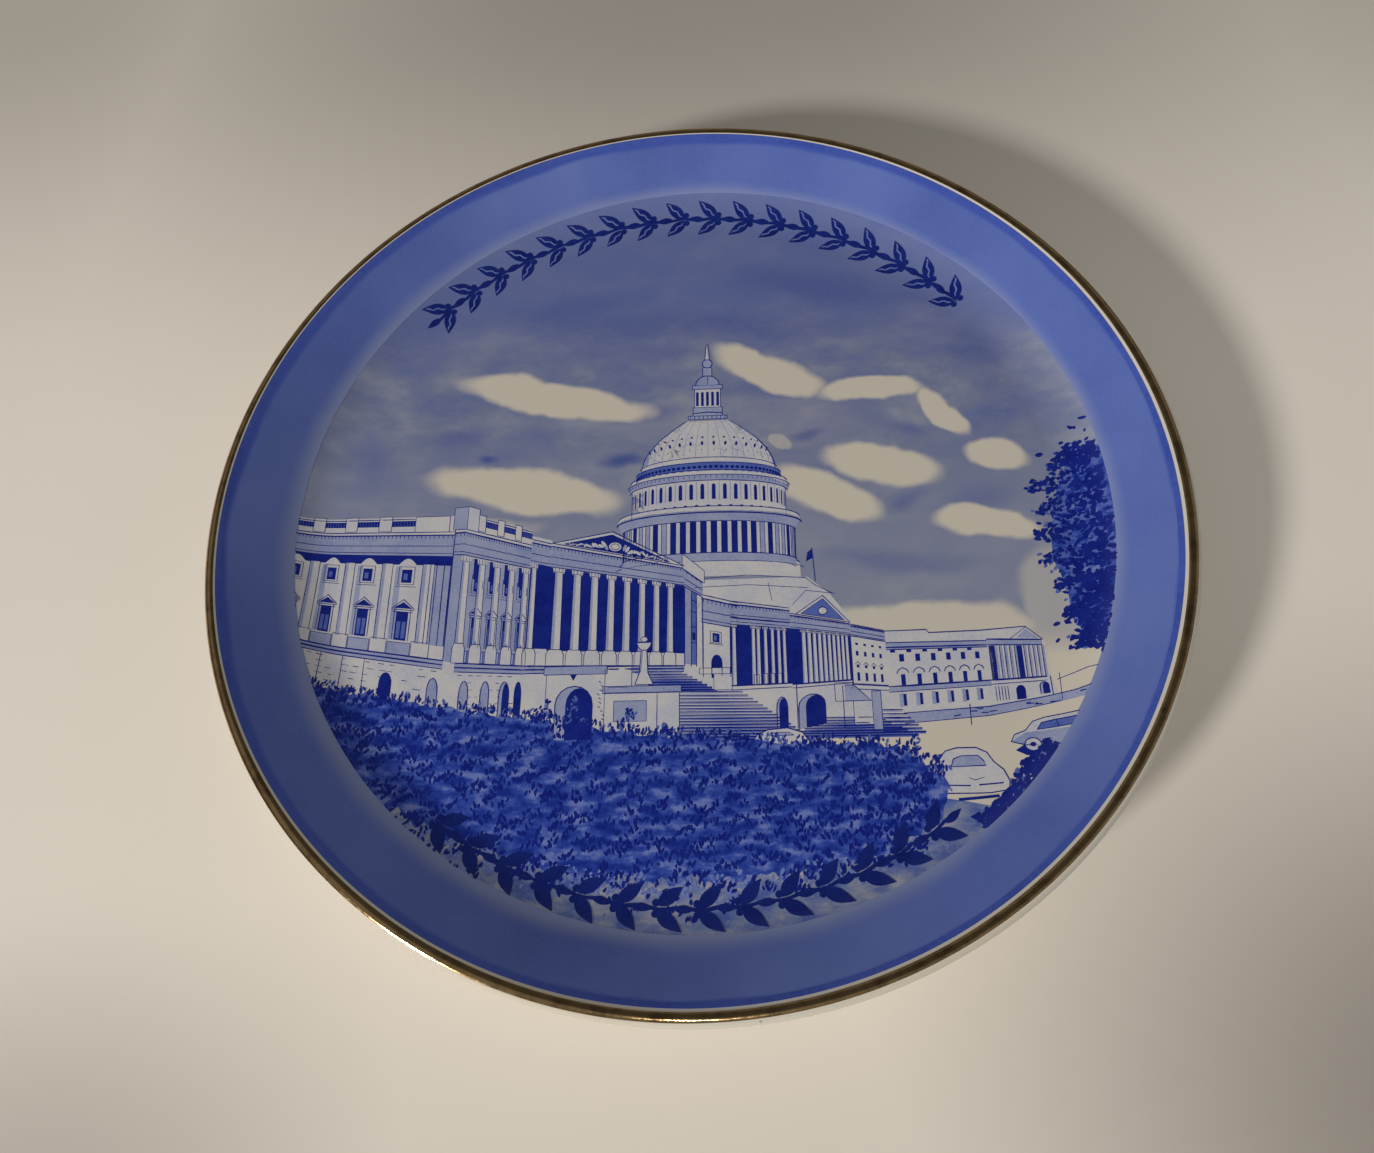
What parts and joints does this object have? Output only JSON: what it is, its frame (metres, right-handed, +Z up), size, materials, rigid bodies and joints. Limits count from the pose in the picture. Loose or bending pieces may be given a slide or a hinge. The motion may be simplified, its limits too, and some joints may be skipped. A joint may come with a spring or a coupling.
{
  "type": "souvenir plate",
  "caption": "Round shallow porcelain display plate on a foot ring, with a printed cobalt picture, a blue banded wall and a gold lip line.",
  "frame": {"origin": "on the plate's axis, level with the resting face of the foot ring", "axes": "+Z up out of the face, +Y towards the top of the picture, +X to the picture's right"},
  "size_m": [0.21, 0.21, 0.0201],
  "materials": {
    "biscuit_porcelain": "unglazed, fine matt",
    "white_glaze": "glossy",
    "blue_ground": "glossy, sprayed",
    "pooled_cobalt": "glossy",
    "fired_gold": "bright fired gold, lightly worn",
    "pale_cobalt_print": "glossy print",
    "line_cobalt_print": "glossy print",
    "dark_cobalt_print": "glossy print",
    "garland_cobalt": "glossy print"
  },
  "bodies": {
    "root": {"porcelain_body": "biscuit_porcelain", "main_glaze": "white_glaze", "base_glaze": "white_glaze", "wall_ground": "blue_ground", "edge_line": "pooled_cobalt", "gold_line": "fired_gold", "sky_print": "pale_cobalt_print", "building_print": "line_cobalt_print", "hedge_print": "dark_cobalt_print", "tree_print": "dark_cobalt_print", "car_print": "line_cobalt_print", "lawn_print": "pale_cobalt_print", "upper_garland": "garland_cobalt", "lower_garland": "garland_cobalt"}
  },
  "joints": []
}
